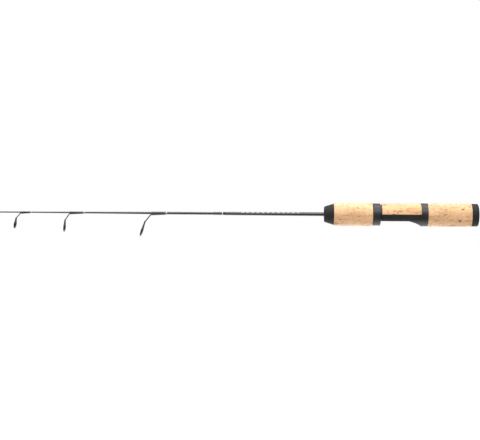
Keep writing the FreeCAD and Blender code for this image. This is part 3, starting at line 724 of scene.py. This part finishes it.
def make_guide_rings():
    """Rings with a rounded section, turned about the axis of their own hole."""
    for mount in frame["record"]["mounts"]:
        if not mount["name"].endswith("_ring_hole"):
            continue
        node = mount["name"].removesuffix("_hole")
        hole = mount["dims"]["r_mm"] * MM
        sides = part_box(node)
        outside = (sides[1].y - sides[0].y) / 2
        rounding = (outside - hole) / 2
        centre, axis = Vector(mount["pos_m"]), Vector(mount["axis"])
        across = Vector((0, 1, 0))
        upward = axis.cross(across)
        section = ring_section(hole, rounding, mount["dims"]["length_mm"] * MM / 2)
        vertices = [centre + axis * reach + (across * math.cos(turn) + upward * math.sin(turn)) * radius
                    for turn in full_turn(RING_AROUND) for reach, radius in section]
        count = len(section)
        faces = []
        for column in range(RING_AROUND):
            first, second = column * count, (column + 1) % RING_AROUND * count
            for row in range(count):
                after = (row + 1) % count
                faces.append((first + row, first + after, second + after, second + row))
        add_piece(node + "_polished", vertices, faces, [True] * len(faces), node)


# Stage, light and camera.

VIEW_CENTRE = (-0.2914, -0.00782)
VIEW_DISTANCE = 1.7
VIEW_WIDTH = 0.5881
VIEW_ROLL = -0.39
FLOOR_HEIGHT = -0.27
FLOOR_GLOW = 0.45
FLOOR_RADIUS = 3.0
FLOOR_FRONT = -0.14
FLOOR_SEGMENTS = 96
SKY_RISE = (0.0, 0.75)
SKY_STRENGTH = (0.29, 0.8)
SENSOR_WIDTH = 36.0
SOFTBOX_SIZE = (1.7, 0.6)
TOP_WATTS = 11.0
FRONT_WATTS = 11.5


def make_stage():
    """A pale floor that starts just in front of the rod, so the near side stays darker."""
    mesh = bpy.data.meshes.new("floor")
    shape = bmesh.new()
    bmesh.ops.create_circle(shape, cap_ends=True, radius=FLOOR_RADIUS, segments=FLOOR_SEGMENTS)
    shape.to_mesh(mesh)
    shape.free()
    floor = bpy.data.objects.new("floor", mesh)
    floor.location = (VIEW_CENTRE[0], FLOOR_FRONT + FLOOR_RADIUS, FLOOR_HEIGHT)
    bpy.context.scene.collection.objects.link(floor)
    surface = Surface("pale_floor", (0.92, 0.92, 0.92), 0.8)
    surface.shader.inputs["Emission Color"].default_value = (1, 1, 1, 1)
    surface.shader.inputs["Emission Strength"].default_value = FLOOR_GLOW
    floor.data.materials.append(surface.material)


def make_world():
    """Even white seen behind the object; it is lit by a sky that is bright above."""
    world = bpy.data.worlds.new("studio")
    bpy.context.scene.world = world
    world.use_nodes = True
    tree = world.node_tree
    seen = tree.nodes["Background"]
    seen.inputs["Color"].default_value = (1, 1, 1, 1)
    seen.inputs["Strength"].default_value = 1.0
    direction = tree.nodes.new("ShaderNodeTexCoord").outputs["Generated"]
    split = tree.nodes.new("ShaderNodeSeparateXYZ")
    tree.links.new(direction, split.inputs[0])
    climb = tree.nodes.new("ShaderNodeMapRange")
    climb.interpolation_type = "SMOOTHSTEP"
    climb.inputs["From Min"].default_value = SKY_RISE[0]
    climb.inputs["From Max"].default_value = SKY_RISE[1]
    climb.inputs["To Min"].default_value = SKY_STRENGTH[0]
    climb.inputs["To Max"].default_value = SKY_STRENGTH[1]
    tree.links.new(split.outputs["Z"], climb.inputs["Value"])
    fill = tree.nodes.new("ShaderNodeBackground")
    fill.inputs["Color"].default_value = (1, 1, 1, 1)
    tree.links.new(climb.outputs[0], fill.inputs["Strength"])
    path = tree.nodes.new("ShaderNodeLightPath")
    choice = tree.nodes.new("ShaderNodeMixShader")
    tree.links.new(path.outputs["Is Camera Ray"], choice.inputs[0])
    tree.links.new(fill.outputs[0], choice.inputs[1])
    tree.links.new(seen.outputs[0], choice.inputs[2])
    tree.links.new(choice.outputs[0], tree.nodes["World Output"].inputs["Surface"])


def add_softbox(name, place, watts):
    """Rectangular soft light aimed at the middle of the rod."""
    aim = Vector((VIEW_CENTRE[0], 0, 0))
    data = bpy.data.lights.new(name, "AREA")
    data.shape = "RECTANGLE"
    data.size, data.size_y = SOFTBOX_SIZE
    data.energy = watts
    lamp = bpy.data.objects.new(name, data)
    lamp.location = place
    lamp.rotation_euler = (aim - Vector(place)).to_track_quat("-Z", "Y").to_euler()
    bpy.context.scene.collection.objects.link(lamp)


def make_lights():
    add_softbox("top_softbox", (VIEW_CENTRE[0], 0.05, 0.95), TOP_WATTS)
    add_softbox("front_softbox", (VIEW_CENTRE[0], -0.75, 0.75), FRONT_WATTS)


def make_camera():
    """Level camera in front of the rod, a little turned about its own line of sight."""
    data = bpy.data.cameras.new("photo_camera")
    data.sensor_width = SENSOR_WIDTH
    data.lens = data.sensor_width * VIEW_DISTANCE / VIEW_WIDTH
    camera = bpy.data.objects.new("photo_camera", data)
    camera.location = (VIEW_CENTRE[0], -VIEW_DISTANCE, VIEW_CENTRE[1])
    camera.rotation_euler = (math.radians(90), math.radians(VIEW_ROLL), 0)
    bpy.context.scene.collection.objects.link(camera)
    bpy.context.scene.camera = camera
    bpy.context.scene.view_settings.view_transform = "Standard"


finish_cad_nodes()
make_cork()
make_foot_wraps()
make_plain_wraps()
make_blank()
make_mouldings()
make_guide_frames()
make_guide_rings()
make_stage()
make_world()
make_lights()
make_camera()
